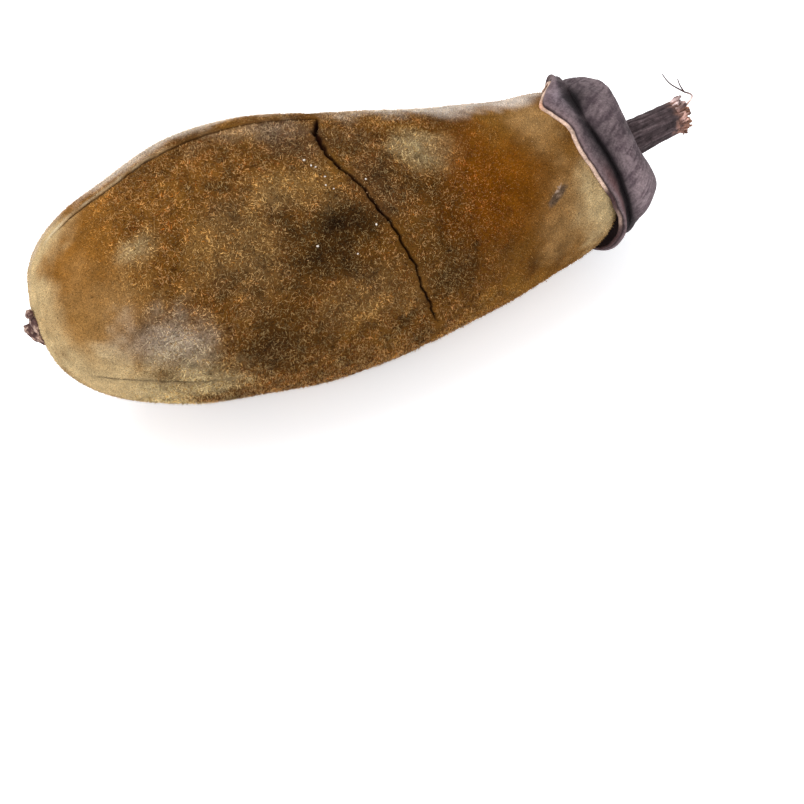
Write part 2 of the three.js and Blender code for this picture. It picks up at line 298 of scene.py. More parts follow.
camera = addObject("camera", bpy.data.cameras.new("camera"))
turn, rise = math.radians(cameraSet["turn"]), math.radians(cameraSet["rise"])
back = Vector((math.sin(turn) * math.cos(rise), -math.cos(turn) * math.cos(rise), math.sin(rise)))
aimX, aimY = cameraSet["aim"]
aim = Vector((aimX + toFrame[0], aimY + toFrame[1], 0)) * mm
aimFrom(camera, aim + back * cameraSet["distance"] * mm, back)
camera.data.lens = cameraSet["lens"]
camera.data.sensor_width = cameraSet["sensor"]
camera.data.clip_start = 0.05
bpy.context.scene.camera = camera
bpy.context.scene.view_settings.view_transform = "Standard"


def newMaterial(name):
    material = bpy.data.materials.new(name)
    material.use_nodes = True
    tree = material.node_tree
    return material, tree, tree.nodes["Principled BSDF"]


def node(tree, kind, **settings):
    made = tree.nodes.new(kind)
    for key, value in settings.items():
        if key in made.inputs:
            made.inputs[key].default_value = value
        else:
            setattr(made, key, value)
    return made


def setInputs(shader, values):
    for socket, value in values.items():
        shader.inputs[socket].default_value = value


# A material with the colours painted on its piece, made lighter and darker by a fine noise, which may be its
# relief too. The look's tone is the range of the noise that counts, and what multiplies the colours at its ends.
def paintedMaterial(name, look):
    material, tree, shader = newMaterial(name)
    painted = node(tree, "ShaderNodeAttribute", attribute_name=look["layer"])
    where = node(tree, "ShaderNodeTexCoord")
    noise = node(tree, "ShaderNodeTexNoise", **look["noise"])
    tree.links.new(where.outputs["Object"], noise.inputs["Vector"])
    ends = ("From Min", "From Max", "To Min", "To Max")
    tone = node(tree, "ShaderNodeMapRange", **dict(zip(ends, look["tone"])))
    tree.links.new(noise.outputs["Fac"], tone.inputs["Value"])
    tinted = node(tree, "ShaderNodeVectorMath", operation="MULTIPLY")
    tree.links.new(painted.outputs["Color"], tinted.inputs[0])
    tree.links.new(tone.outputs["Result"], tinted.inputs[1])
    tree.links.new(tinted.outputs["Vector"], shader.inputs["Base Color"])
    if "relief" in look:
        relief = node(tree, "ShaderNodeBump", **look["relief"])
        tree.links.new(noise.outputs["Fac"], relief.inputs["Height"])
        tree.links.new(relief.outputs["Normal"], shader.inputs["Normal"])
    setInputs(shader, look["surface"])
    return material


# Places are in mm in the pod's frame, and corners in the mesh's own units
def cornersOf(verts):
    return np.array([v.co for v in verts])


def moveTo(verts, places):
    for vert, co in zip(verts, (places + toFrame) * mm):
        vert.co = co


def meshFrom(name, bm):
    mesh = bpy.data.meshes.new(name)
    bm.to_mesh(mesh)
    bm.free()
    return mesh


def placesOf(mesh):
    return cornersOf(mesh.vertices) / mm - toFrame


stageSet = {
    "size": 6.0,
    "paper": {
        "Base Color": (0.93, 0.93, 0.94, 1),
        "Roughness": 0.8,
        "Specular IOR Level": 0.2,
        "Emission Color": (0.98, 0.985, 1, 1),
        "Emission Strength": 0.42,
    },
    "sky": {"Color": (0.96, 0.975, 1.0, 1), "Strength": 0.78},
    "softboxes": [  # name, place, size, power and colour
        ("overhead", (-0.25, 0.35, 0.95), 0.9, 9.0, (1, 0.985, 0.96)),
        ("front", (-0.5, -0.8, 0.7), 0.7, 4.5, (1, 0.98, 0.95)),
    ],
}
bm = bmesh.new()
bmesh.ops.create_grid(bm, x_segments=1, y_segments=1, size=stageSet["size"] / 2)
floorMesh = meshFrom("floor", bm)
floor = addObject("floor", floorMesh)
paper, _, shader = newMaterial("white paper")
setInputs(shader, stageSet["paper"])
floorMesh.materials.append(paper)

world = bpy.data.worlds.new("studio")
bpy.context.scene.world = world
world.use_nodes = True
setInputs(world.node_tree.nodes["Background"], stageSet["sky"])
for name, location, size, power, colour in stageSet["softboxes"]:
    light = bpy.data.lights.new(name, "AREA")
    light.size = size
    light.energy = power
    light.color = colour
    aimFrom(addObject(name, light), location, Vector(location))


# sRGB 0 to 255, as seen, to the linear values that shaders use
def seen(red, green, blue):
    value = np.array([red, green, blue]) / 255
    return np.where(value <= 0.04045, value / 12.92, ((value + 0.055) / 1.055) ** 2.4)


print("stage: colours of the coat")

coatForm = {
    "ground": seen(127, 84, 32),
    "umber": seen(68, 40, 18),
    "gold": seen(156, 110, 46),
    "straw": seen(204, 172, 124),  # the palest hairs
    # the pale ridge beside the seam, partly a painted highlight
    "ridge": seen(226, 206, 170),
    "tints": {
        "cream": seen(220, 194, 146),
        "dust": seen(196, 174, 152),
        # pale top edge: partly dust, partly painted rim light where the top turns away
        "dustAndRimLight": seen(228, 214, 202),
        "tan": seen(186, 146, 94),
        "amber": seen(154, 104, 44),
        "orange": seen(136, 79, 8),
        "brown": seen(88, 56, 24),
        "grey": seen(100, 74, 56),
        "soot": seen(40, 22, 13),
    },
    # tint and strength, place along and round the pod, half length and half breadth in mm
    "blotches": [
        ("amber", 0.85, 20, 5, 24, 34),
        # pale rim round the tip: partly the coat's own paler colour, partly painted rim light
        ("cream", 0.85, -1, 20, 6.5, 60),
        ("cream", 0.8, 9, -31, 9, 9),
        ("tan", 0.5, 14, 70, 18, 22),
        ("cream", 0.5, 32, 21, 7, 5),
        ("soot", 0.9, 94, 40, 11, 7),
        ("soot", 0.8, 82, 49, 13, 7),
        ("tan", 0.35, 62, 40, 20, 16),
        ("dust", 0.9, 32, 70, 15, 10),
        ("amber", 0.8, 66, 4, 16, 8),
        ("tan", 0.4, 81, 19, 14, 10),
        ("tan", 0.3, 98, 72, 18, 10),
        # painted shade low on the belly
        ("brown", 0.6, 68, 86, 16, 12),
        ("grey", 0.55, 91, -2, 12, 11),
        ("grey", 0.4, 112, 17, 10, 16),
        ("cream", 0.6, 132, 9, 10, 9),
        ("brown", 0.6, 129, 60, 11, 12),
        ("orange", 0.92, 154, 38, 24, 21),
        ("tan", 0.75, 175, 4, 9, 13),
        ("tan", 0.65, 184, 70, 20, 22),
        ("cream", 0.85, 192, 76, 11, 16),
        ("soot", 0.5, 112, -112, 20, 12),
        ("cream", 0.4, 40, -125, 24, 16),
        ("tan", 0.6, 104, -60, 100, 22),
        # painted rim light, with dust, along the top edge
        ("dustAndRimLight", 0.7, 62, -42, 50, 8.5),
        ("dust", 0.3, 82, -15, 16, 6),
        # painted rim light, with dust, along the top edge near the calyx
        ("dustAndRimLight", 0.85, 160, -30, 44, 7.5),
        # pale underside near the tip: partly paler fuzz, partly painted light thrown up from the floor
        ("cream", 0.75, 14, 112, 30, 19),
    ],
}


# The coat is coarse in the middle, and fine at both ends and along the top edge
def coarseness(x, angle):
    middle = smooth(9, 36, x) * (1 - 0.78 * smooth(124, 168, x))
    return (0.14 + 0.86 * middle) * (1 - 0.6 * bump(turnBetween(angle, -48), 24))


# The coat is dark close to the cracks' edges
def lineShade(x, angle):
    shade = np.ones(np.broadcast(x, angle).shape)
    for distance, half in fromLines(x, angle):
        shade *= 1 - 0.5 * (1 - smooth(0.05, 0.45, np.abs(distance) - half)) * smooth(0, 0.2, half)
    return shade


# Colour of the coat at each place of the pod, with soft mottling
def coatColour(x, angle, points):
    cloud = softField(points, 14, 1) * 0.6 + softField(points, 6, 2) * 0.4
    colour = mix(coatForm["ground"], coatForm["umber"], 0.55 * smooth(0.52, 0.8, cloud)[..., None])
    colour = mix(colour, coatForm["gold"], 0.5 * smooth(0.5, 0.22, cloud)[..., None])
    wander = (softField(points, 9, 4) - 0.5) * 0.9 + (softField(points, 3, 5) - 0.5) * 0.5
    for tint, strength, blotchX, blotchAngle, length, breadth in coatForm["blotches"]:
        along = (x - blotchX) / length
        around = np.radians(turnBetween(angle, blotchAngle)) * np.maximum(podRadius(blotchX), 20) / breadth
        reach = np.sqrt(along**2 + around**2) + wander
        share = strength * (1 - smooth(0.2, 1.5, reach))
        colour = mix(colour, coatForm["tints"][tint], share[..., None])
    # Small dark clouds in the coarse middle of the coat
    clouds = smooth(0.6, 0.86, softField(points, 5, 9) * 0.6 + softField(points, 2.2, 10) * 0.4)
    share = 0.45 * clouds * coarseness(x, angle) * smooth(-30, -10, unbroken(angle))
    colour = mix(colour, coatForm["tints"]["soot"], share[..., None])
    # A pale ridge runs beside the long seam near the tip, painted partly in its own colour and partly as a
    # highlight along it
    beside = fromSeam(seamForm, x, angle)[0] + 1.5
    ridge = bump(beside, 0.9) * smooth(6, 12, x) * (1 - smooth(40, 64, x)) * softField(points, 2.6, 11)
    colour = mix(colour, coatForm["ridge"], ridge[..., None])
    speckle = 0.82 + 0.36 * softField(points, 3.2, 3) + 0.22 * (softField(points, 1.4, 6) - 0.5)
    return colour * (speckle * lineShade(x, angle))[..., None]


def paintPoints(mesh, name, colours):
    layer = mesh.color_attributes.new(name, "FLOAT_COLOR", "POINT")
    values = np.ones((len(mesh.vertices), 4))
    values[:, :3] = colours
    layer.data.foreach_set("color", values.ravel())


def finishPiece(name, mesh, material, body="root"):
    piece = addObject(name, mesh)
    mesh.materials.append(material)
    mesh.shade_smooth()
    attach(piece, body)
    return piece


# Which of some even steps round a circle a direction is
def stepRound(up, across, steps):
    return np.rint(np.arctan2(up, across) / (2 * np.pi / steps)).astype(int) % steps


def skinMesh(name, bm, places):
    moveTo(bm.verts, places)
    if bm.calc_volume(signed=True) < 0:
        bmesh.ops.reverse_faces(bm, faces=bm.faces)
    return meshFrom(name, bm)


# A ball with rings and poles, opened out so that its vertices take the places in grid, from start to end
def skinFromBall(name, grid, start, end):
    rows, columns = grid.shape[:2]
    bm = bmesh.new()
    bmesh.ops.create_uvsphere(bm, u_segments=columns, v_segments=rows + 1, radius=1)
    co = cornersOf(bm.verts)
    row = np.rint((np.pi - np.arccos(np.clip(co[:, 2], -1, 1))) / (np.pi / (rows + 1))).astype(int)
    column = stepRound(co[:, 1], co[:, 0], columns)
    places = grid[np.clip(row - 1, 0, rows - 1), column]
    places[row == 0] = start
    places[row == rows + 1] = end
    return skinMesh(name, bm, places), row, column


# A ring turned from a small circle, opened out the same way
def skinFromRing(name, grid):
    steps, columns = grid.shape[:2]
    bm = bmesh.new()
    circle = bmesh.ops.create_circle(bm, segments=steps, radius=0.25)["verts"]
    upright = Matrix.Translation((1, 0, 0)) @ Matrix.Rotation(math.pi / 2, 4, "X")
    bmesh.ops.transform(bm, matrix=upright, verts=circle)
    turned = {"axis": (0, 0, 1), "cent": (0, 0, 0), "angle": 2 * math.pi, "steps": columns}
    bmesh.ops.spin(bm, geom=bm.verts[:] + bm.edges[:], use_merge=True, **turned)
    bmesh.ops.remove_doubles(bm, verts=bm.verts, dist=1e-5)
    co = cornersOf(bm.verts)
    column = stepRound(co[:, 1], co[:, 0], columns)
    step = stepRound(co[:, 2], np.hypot(co[:, 0], co[:, 1]) - 1, steps)
    return skinMesh(name, bm, grid[step, column]), step, column


print("stage: shell")

shellSet = {
    "ringStep": 1.3,
    "columnStep": 1.5,
    "closeToCrack": [0, 0.25, 0.5, 0.75, 1.0, 1.4, 2.0],
    "closeToSeam": [0, 0.35, 0.75, 1.2],
    "crackX": 110.0,  # where the crack and the seams are on the whole
    "seamAngle": -23.0,
    "lowerSeamAngle": 98.5,
    "groove": seen(38, 16, 8),
    "scar": seen(84, 66, 50),
    "scarFlecks": seen(150, 132, 120),
    "look": {
        "layer": "coat",
        "noise": {"Scale": 2600, "Detail": 3, "Roughness": 0.6, "Distortion": 1.2},
        "tone": (0.32, 0.68, 0.45, 1.75),
        "relief": {"Strength": 0.7, "Distance": 0.0004},
        "surface": {"Roughness": 0.95, "Specular IOR Level": 0.02},
    },
}


# Even steps, with closer ones on both sides of the given places
def closeSteps(start, end, step, places, offsets):
    close = sorted({p + s * o for p in places for o in offsets for s in (-1, 1)})
    even = [v for v in np.arange(start, end, step) if all(abs(v - c) > step * 0.45 for c in close)]
    return np.array(sorted(even + close))


# Rings follow the crack: they are bent onto its line near it and straight again further off
arc = np.concatenate([[0], np.cumsum(np.hypot(*np.diff(outline, axis=0).T))])
crackMiddle, seamMiddle = shellSet["crackX"], shellSet["seamAngle"]
crackArc = np.interp(crackMiddle, outline[:, 0], arc)
ringArcs = closeSteps(0.6, arc[-1] - 0.4, shellSet["ringStep"], [crackArc], shellSet["closeToCrack"])
ringX, ringRadius = (np.interp(ringArcs, arc, values)[:, None] for values in outline.T)
seamAngles = [seamMiddle, shellSet["lowerSeamAngle"]]
columnAngles = closeSteps(-180, 179.2, shellSet["columnStep"], seamAngles, shellSet["closeToSeam"])[None, :]
bend = 1 - smooth(3, 42, np.abs(ringX - crackMiddle))
shellX = ringX + bend * (crackX(unbroken(columnAngles)) - crackMiddle)
shellRadius = np.where(bend > 0, podRadius(shellX), ringRadius + 0 * shellX)
nearSeam = bump(columnAngles - seamMiddle, 3) * smooth(8, 20, shellX) * (1 - smooth(100, 108, shellX))
shellAngles = columnAngles + nearSeam * (seamAngleAt(seamForm, shellX) - seamMiddle)
shellGrid = podPoint(shellX, shellAngles, shellRadius)
shellGrid[..., 2] = np.maximum(shellGrid[..., 2], flatZ)
tip, end = centreAt(0.0), centreAt(podForm["length"])
shellMesh, shellRow, shellColumn = skinFromBall("shell", shellGrid, tip, end)
atRow = np.clip(shellRow - 1, 0, len(ringArcs) - 1)
vertX, vertAngle = shellX[atRow, shellColumn], shellAngles[atRow, shellColumn]
vertPoint = shellGrid[atRow, shellColumn]
# The ground under the hairs is painted darker as the shade among them, the more so where the coat is coarse
shellColour = coatColour(vertX, vertAngle, vertPoint) * (0.62 - 0.18 * coarseness(vertX, vertAngle))[:, None]
grooveShare = 0.94 * smooth(0.3, 1.0, grooveDepth(vertX, vertAngle))
shellColour = mix(shellColour, shellSet["groove"], grooveShare[:, None])
grain = softField(vertPoint, 0.7, 8)[:, None]
scarColour = shellSet["scar"] * (0.6 + 0.8 * grain) + shellSet["scarFlecks"] * smooth(0.74, 0.92, grain)
scarShare = smooth(-0.1, 0.15, scarAt(vertX, vertAngle))
shellColour = mix(shellColour, scarColour, scarShare[:, None])
paintPoints(shellMesh, "coat", shellColour)
velvet = paintedMaterial("velvet ground", shellSet["look"])
shell = finishPiece("shell", shellMesh, velvet)
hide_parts("pod")
print("shell", len(shellMesh.polygons), "faces")

print("stage: calyx")

calyxForm = {
    "columns": 300,
    "outsideSteps": 150,
    "insideSteps": 10,
    "sectionEnd": 21,  # the number of the section's last point outside, where 0 is the first
    "clearance": 0.35,
    "endX": 214,
    "tints": {
        "lining": seen(206, 176, 158),
        "knob": seen(196, 150, 124),
        "gap": seen(52, 36, 36),
        "edgeHighlight": seen(112, 94, 96),
        "skin": seen(78, 65, 70),
        "streak": seen(122, 108, 110),
        # used for painted shade in the hollow, the pit, the skirt and low down
        "dark": seen(12, 7, 10),
        "maroon": seen(92, 60, 58),
        # the painted highlight on the flap
        "light": seen(210, 216, 230),
    },
    "look": {
        "layer": "skin",
        "noise": {"Scale": 1500, "Detail": 4, "Roughness": 0.65},
        "tone": (0.3, 0.7, 0.65, 1.35),
        "relief": {"Strength": 0.6, "Distance": 0.0003},
        "surface": {
            "Roughness": 0.85,
            "Specular IOR Level": 0.08,
            "Sheen Weight": 0.04,
            "Sheen Roughness": 0.6,
            "Sheen Tint": (0.85, 0.76, 0.78, 1),
        },
    },
    # angle, then distance from the tip and radius of the rim, the crease, the roll and the end shoulder
    "stations": [
        (-170, 190, 29.6, 197.5, 27.8, 204, 28.4, 210.5, 25),
        (-140, 187, 29.8, 196, 28, 203, 28.8, 209.5, 25.5),
        (-115, 191, 29.6, 197.5, 27.6, 203, 28.4, 208.5, 25.5),
        (-90, 194.5, 29.2, 198.5, 28.6, 203, 28.2, 208, 25),
        (-70, 195, 29.6, 198, 29.2, 202.5, 28.4, 208, 25.5),
        (-52, 194, 30.4, 197, 31.2, 201.5, 29.3, 208, 25.5),
        (-38, 192.5, 31.2, 196, 31.4, 201, 29.6, 208.3, 25.6),
        (-28, 189.6, 31.7, 195.2, 30, 200.5, 29.5, 208.4, 26),
        (-19, 184.6, 31, 194.6, 27.6, 200, 29.4, 208.3, 26),
        (-9, 181.2, 30.5, 193.8, 27, 199.8, 29.6, 208.2, 26),
        (2, 183, 30.2, 193.2, 27.2, 200, 29.6, 207.7, 26),
        (14, 185.5, 30, 192.4, 28, 200.3, 29.5, 207.2, 26),
        (28, 185.4, 30, 193.4, 27.6, 201, 29.5, 207, 26),
        (42, 186.9, 29.8, 195.2, 27.2, 202, 29.4, 207.5, 26),
        (56, 189.8, 29.2, 197, 26.8, 203.5, 29.3, 209, 26),
        (68, 192.6, 28.6, 198.2, 26.5, 205, 29.1, 211, 26),
        (82, 194.9, 28.2, 199.8, 26, 206.8, 28.6, 212.8, 26),
        (96, 197, 27.8, 201.2, 25.6, 206.6, 27.8, 212.4, 25),
        (110, 197.6, 28.4, 202.2, 26.2, 205.9, 26.6, 211.4, 22.8),
        (126, 195.5, 29.8, 201, 27, 205.5, 27, 211.5, 22),
        (150, 193, 29.4, 200, 26.2, 205.5, 26.8, 211.5, 23),
    ],
}
stalkForm = {
    "radius": 6,
    "tipRadius": 5.3,
    "startX": 207.35,
    "endX": 238.5,
    "bend": 4,
    "ridges": 9,
    "ridgeHeight": 0.45,
    "rows": 70,
    "columns": 108,
    "tints": {
        "bark": seen(72, 60, 62),
        "streak": seen(112, 100, 102),
        "broken": seen(132, 98, 86),
        "core": seen(96, 68, 58),
    },
}


# The calyx measures at any angle, smoothly between the stations on both sides of it
def calyxAt(angle):
    table = np.array(calyxForm["stations"], float)
    around = np.vstack([table[-2:], table, table[:3]])
    around[:2, 0] -= 360
    around[-3:, 0] += 360
    turn = (np.asarray(angle, float) + 180) % 360 - 180
    at = np.searchsorted(around[:, 0], turn, side="right") - 1
    before, a, b, after = (around[at + step] for step in (-1, 0, 1, 2))
    span = b[..., :1] - a[..., :1]
    w = (turn[..., None] - a[..., :1]) / span
    goA = (b - before) / (b[..., :1] - before[..., :1]) * span
    goB = (after - a) / (after[..., :1] - a[..., :1]) * span
    mixed = a + w * (goA + w * (3 * (b - a) - 2 * goA - goB + w * (2 * (a - b) + goA + goB)))
    return np.moveaxis(mixed[..., 1:], -1, 0)


# The shell's radius with a little air over it
def overShell(x):
    return float(podRadius(x)) + calyxForm["clearance"]


# Once round the calyx at one angle, as distances from the tip and radii: from the pale lining's edge over the
# skin, the crease and the roll, in to the stalk, and back along the pod
def calyxSection(angle, places):
    rim, rimRadius, creaseX, crease, rollX, roll, shoulderX, shoulder = calyxAt(angle)
    flap = bump(angle + 10, 16)  # the flap stands up in front of the hollow
    # The torn edge of the lining is a little uneven
    turn = np.array([math.cos(math.radians(angle)), math.sin(math.radians(angle)), 0])
    tear = 1.5 * float(softField(turn * 8, 1.0, 61)) + 0.7 * float(softField(turn * 21, 1.0, 62)) - 1.1
    lining = rim + tear * 0.6
    thick = 0.5 * float(softField(turn * 13, 1.0, 63)) - 0.3
    overhang = min(max((roll - crease) / 2, 0), 1)
    hole = stalkForm["radius"] + stalkForm["ridgeHeight"] + 0.4
    outside = [
        (lining + 0.7, rimRadius - 1.3),
        (lining - 0.4, rimRadius - 0.85),
        (lining - 0.3 - thick, rimRadius - 0.2 + thick),
        (lining + 0.5, rimRadius + thick),
        (lining + 1.0, rimRadius - 0.3),
        (rim + 1.2 + 0.4 * tear, rimRadius + 0.5),
        (rim + 1.8 + 0.4 * tear, rimRadius + 0.9),
        (0.45 * rim + 0.55 * creaseX, (rimRadius + crease) / 2 + 1.45 + 0.9 * flap),
        (creaseX - 1.2 - 1.6 * flap, crease + 1.2 + 0.9 * flap),
        (creaseX - 0.1, crease + 0.15),
        (creaseX + 0.6, crease),
        (creaseX + 0.7, crease * 0.6 + roll * 0.4),
        (creaseX + 0.9 - 0.5 * overhang, crease * 0.2 + roll * 0.8 - 0.3),
        (creaseX + 2.2 - 0.6 * overhang, roll - 0.15),
        (rollX, roll + 0.1),
        ((rollX + shoulderX) / 2 + 0.3, roll * 0.55 + shoulder * 0.45 + 0.6),
        (shoulderX, shoulder),
        (shoulderX + 1.3, shoulder - 3.6),
        (shoulderX + 2.1, shoulder - 8),
        (shoulderX + 2.2, shoulder - 13),
        (calyxForm["endX"] - 1.7, hole + 1.4),
        (calyxForm["endX"] - 3.4, hole),
    ]
    back = [
        (207.6, hole),
        (207.5, hole + 1.5),
        (206.8, overShell(205.4)),
        (203, overShell(202.3) + 0.2),
        (creaseX + 1, overShell(creaseX + 1) + 0.1),
        (rim + 3, max(overShell(rim + 3), rimRadius - 2.2)),
    ]
    return np.concatenate([splineAt(outside, places), splineThrough(back, calyxForm["insideSteps"] - 1)])


# Steps along the section are spread evenly over its length
closePlaces = np.linspace(0, calyxForm["sectionEnd"], 841)
oneSection = calyxSection(30, closePlaces)[: len(closePlaces)]
stride = np.hypot(*np.diff(oneSection, axis=0).T) + 0.012
walked = np.concatenate([[0], np.cumsum(stride)])
outsidePlaces = np.interp(np.linspace(0, walked[-1], calyxForm["outsideSteps"] + 1), walked, closePlaces)
calyxAngles = np.arange(calyxForm["columns"]) * 360 / calyxForm["columns"] - 180
sections = np.stack([calyxSection(angle, outsidePlaces) for angle in calyxAngles], 1)
sectionX, sectionRadius = np.moveaxis(sections, -1, 0)
insidePlaces = np.full(calyxForm["insideSteps"], calyxForm["sectionEnd"])
stepPlace = np.concatenate([outsidePlaces, insidePlaces])[:, None]
turns = calyxAngles[None, :] / 360


# Ridges that run slantwise over the skin; whole cells go round, so that they close
def slantRidges(across, lengthwise, cellsRound, longCells, seed):
    return softPlane(sectionX * across + turns * cellsRound, turns * longCells - sectionX * lengthwise, seed)


wrinkles = 1 - np.abs(slantRidges(0.6, 0.14, 160, 32, 21) * 2 - 1)
wrinkles = wrinkles * 0.65 + 0.35 * (1 - np.abs(slantRidges(1.1, 0.3, 256, 64, 26) * 2 - 1))
folds = slantRidges(0.16, 0.1, 32, 32, 22)
overRoll = smooth(12.5, 14.5, stepPlace)
relief = 0.5 * (wrinkles - 0.55) + (0.5 + 0.5 * overRoll) * (folds - 0.5)
sectionRadius = sectionRadius + between(6.3, 8.5, 18, 21, stepPlace) * relief
calyxOut = radial(calyxAngles[None, :]) * sectionRadius[..., None]
calyxGrid = centreAt(sectionX, towardsStalk(sectionX)) + calyxOut
calyxMesh, calyxStep, calyxColumn = skinFromRing("calyx_folds", calyxGrid)


# Colour of the calyx by place along its section: the lining ends at 3.9, the crease is 10, the roll's top 14
def calyxColour(points, place, angle, wrinkle):
    tints = calyxForm["tints"]
    grain = softField(points, 2.2, 23)[:, None]
    fleck = softField(points, 0.8, 24)[:, None]
    patches = softField(points, 7, 25)[:, None]
    colour = mix(tints["skin"], tints["streak"], smooth(0.5, 0.95, wrinkle * 0.7 + grain * 0.5) * 0.55)
    colour = colour * (0.62 + 0.5 * wrinkle) * (0.78 + 0.4 * fleck) * (0.6 + 0.8 * patches)
    skirt = between(5, 7, 8.5, 9.5, place) * smooth(35, 60, angle) * 0.7
    colour = mix(colour, tints["maroon"] * (0.7 + 0.6 * grain), skirt)
    colour = colour * (1 + 0.4 * bump(place - 14.2, 1.8) * between(26, 50, 80, 96, angle))
    # Painted shade: the hollow between the flap and the roll is dark
    hollowShade = between(6.4, 8.6, 12.2, 14, place) * smooth(-50, -8, angle) * (1 - 0.45 * bump(angle - 10, 7))
    colour = mix(colour, tints["dark"], 0.97 * hollowShade)
    # Painted shade on the skirt before the crease
    foot = 0.4 * smooth(5.8, 7, place) * (1 - smooth(9, 11, place)) * bump(angle - 20, 16)
    colour = mix(colour, tints["dark"], foot)
    # A painted highlight, pale blue, on the flap
    flapHighlight = bump(place - 7, 1.4) * bump(angle + 10, 12)
    colour = colour * (1 + (tints["light"] - 0.1) * flapHighlight)
    # Painted shade in the pit at the top of the hollow
    pitShade = bump(place - 10.9, 2.5) * bump(angle + 9, 12)
    colour = mix(colour, tints["dark"], np.minimum(1.4 * pitShade, 0.97))
    # Painted shade on the calyx's lower side
    colour = mix(colour, tints["dark"], smooth(90, 112, angle) * smooth(6, 9, place) * 0.6)
    # A painted highlight along the skin's edge and a dark gap come before the lining, which is painted in shade
    # low down
    colour = mix(colour, tints["edgeHighlight"], bump(place - 5.9, 0.6) * 0.6)
    colour = mix(colour, tints["gap"], bump(place - 4.3, 0.5) * 0.9)
    lining = mix(tints["lining"] * (0.35 + 0.5 * grain + 0.45 * fleck), tints["knob"], bump(angle + 10, 4))
    lining = mix(lining, tints["gap"] * 1.6, smooth(59, 66, angle) * (1 - 0.5 * bump(angle - 92, 9)))
    return mix(colour, lining, 1 - smooth(3.4, 3.9, place))


at = (calyxStep, calyxColumn)
around = calyxAngles[calyxColumn][:, None]
colour = calyxColour(calyxGrid[at], stepPlace[calyxStep], around, wrinkles[at][:, None])
inside = (calyxStep > calyxForm["outsideSteps"])[:, None]
paintPoints(calyxMesh, "skin", np.where(inside, calyxForm["tints"]["gap"], colour))
leather = paintedMaterial("dry calyx skin", calyxForm["look"])
calyx = finishPiece("calyx_folds", calyxMesh, leather)
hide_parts("calyx")
print("calyx", len(calyxMesh.polygons), "faces")

print("stage: stalk")


def stalkCentre(x):
    along = (x - stalkForm["startX"]) / (stalkForm["endX"] - stalkForm["startX"])
    return centreAt(x, towardsStalk(x) + stalkForm["bend"] * smooth(0.1, 1.1, along))


along = np.linspace(0, 1, stalkForm["rows"])[:, None]
stalkAngles = (np.arange(stalkForm["columns"]) * 360 / stalkForm["columns"])[None, :]
stalkX = stalkForm["startX"] + (stalkForm["endX"] - stalkForm["startX"]) * along
stalkX = stalkX + smooth(0.8, 1, along) * 3.2 * (softPlane(stalkAngles * 0.05, 0.0, 31) - 0.5)
twist = 25 * np.sin(6 * along)
ridge = np.cos(np.radians(stalkForm["ridges"] * stalkAngles + twist)) * 0.7
ridge = ridge + 0.5 * np.cos(np.radians(17 * stalkAngles + 2 * twist + 60))
stalkNoise = softPlane(stalkX * 0.5, stalkAngles * 0.12, 32)
stalkRadius = stalkForm["radius"] + (stalkForm["tipRadius"] - stalkForm["radius"]) * smooth(0.2, 1, along)
stalkRadius = stalkRadius + stalkForm["ridgeHeight"] * ridge * smooth(0.02, 0.2, along)
stalkRadius = stalkRadius + 0.5 * (stalkNoise - 0.5)
stalkGrid = stalkCentre(stalkX) + radial(stalkAngles) * stalkRadius[..., None]
stalkMesh, stalkRow, stalkColumn = skinFromBall(
    "stalk_bark", stalkGrid, stalkCentre(stalkForm["startX"]), stalkCentre(stalkForm["endX"] - 2.5)
)
atRow = np.clip(stalkRow - 1, 0, stalkForm["rows"] - 1)
high = ridge[atRow, stalkColumn][:, None]
mottle = softField(stalkGrid[atRow, stalkColumn], 1.5, 33)[:, None]
streak = softPlane(stalkX[atRow, stalkColumn] * 0.3, stalkAngles[0, stalkColumn] * 0.32, 34)[:, None]
tints = stalkForm["tints"]
colour = tints["bark"] * (0.8 + 0.25 * high) + tints["streak"] * smooth(0.45, 1, streak) * 0.45
brokenShare = smooth(0.82, 0.95, along[atRow] + 0.12 * (mottle - 0.5))
colour = mix(colour * (0.5 + 1.0 * mottle), tints["broken"] * (0.4 + 1.1 * mottle), brokenShare)
colour = np.where((stalkRow > stalkForm["rows"])[:, None], tints["core"], colour)
paintPoints(stalkMesh, "skin", colour)
bark = leather.copy()
bark.name = "stalk bark"
stalk = finishPiece("stalk_bark", stalkMesh, bark)
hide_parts("stalk")


# Thin curved fibres: each is a list of places and of thicknesses in mm
def fibreMesh(name, fibres):
    curve = bpy.data.curves.new(name, "CURVE")
    curve.dimensions = "3D"
    curve.bevel_depth = mm
    curve.bevel_resolution = 1
    curve.use_fill_caps = True
    for places, thicknesses in fibres:
        spline = curve.splines.new("POLY")
        spline.points.add(len(places) - 1)
        for point, co, thickness in zip(spline.points, places, thicknesses):
            point.co = (*((np.array(co) + toFrame) * mm), 1)
            point.radius = thickness
    holder = addObject(name, curve)
    mesh = bpy.data.meshes.new_from_object(holder)
    bpy.data.objects.remove(holder)
    return mesh


fibreForm = {
    "count": 200,
    "steps": 7,
    "sunk": 2.6,
    "thick": (0.35, 0.8),
    # the long forked fibre, as place along the pod, rise in the picture and distance out of it
    "root": (240.5, 9.5, 1.5),
    "bend": (244.9, 12.7, 1.8),
    "fork": (242.6, 14.9, 1.5),
    "tips": [(241.9, 20.0, 1.2), (236.4, 22.8, 2.0)],
    "sideways": [-0.4, -1.3],
    "tints": {
        "root": seen(118, 86, 76),
        "tip": seen(182, 134, 106),
        "grey": seen(176, 154, 152),
        # the painted highlight on the top of the broken end
        "pale": seen(206, 184, 182),
        "long": seen(78, 60, 60),
    },
}


